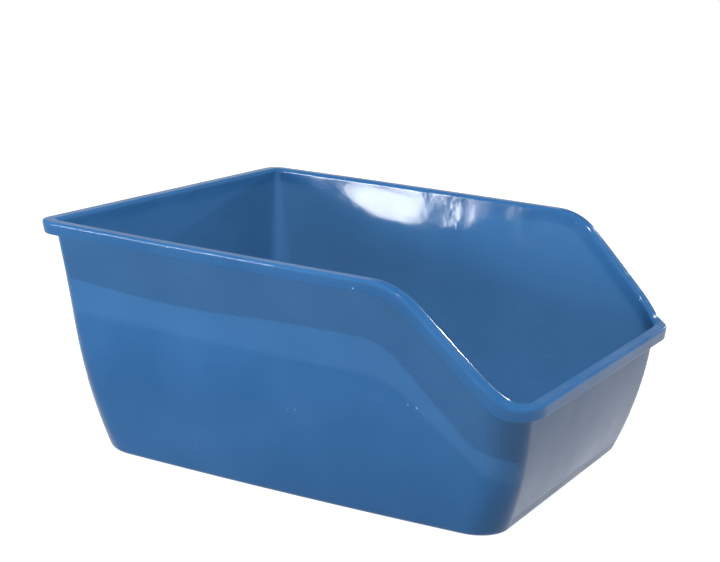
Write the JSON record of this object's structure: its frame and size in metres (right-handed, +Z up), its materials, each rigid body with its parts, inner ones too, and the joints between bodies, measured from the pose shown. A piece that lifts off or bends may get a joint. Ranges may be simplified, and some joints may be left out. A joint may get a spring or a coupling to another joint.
{
  "type": "open litter pan",
  "caption": "High-sided open litter pan in glossy blue plastic, with a low front entry, sloping side rims and a rolled rim all round.",
  "frame": {"origin": "centre of the bounding box in plan, on the plane that the pan stands on", "axes": "+Z up, the low entry faces -Y, the high back faces +Y, +X is to the right of someone who faces the back from the entry"},
  "size_m": [0.4618, 0.54, 0.243],
  "materials": {
    "pan_plastic": "glossy moulded polypropylene in mid blue, with faint handling scratches"
  },
  "bodies": {
    "root": {"litter_pan": "pan_plastic"}
  },
  "joints": []
}
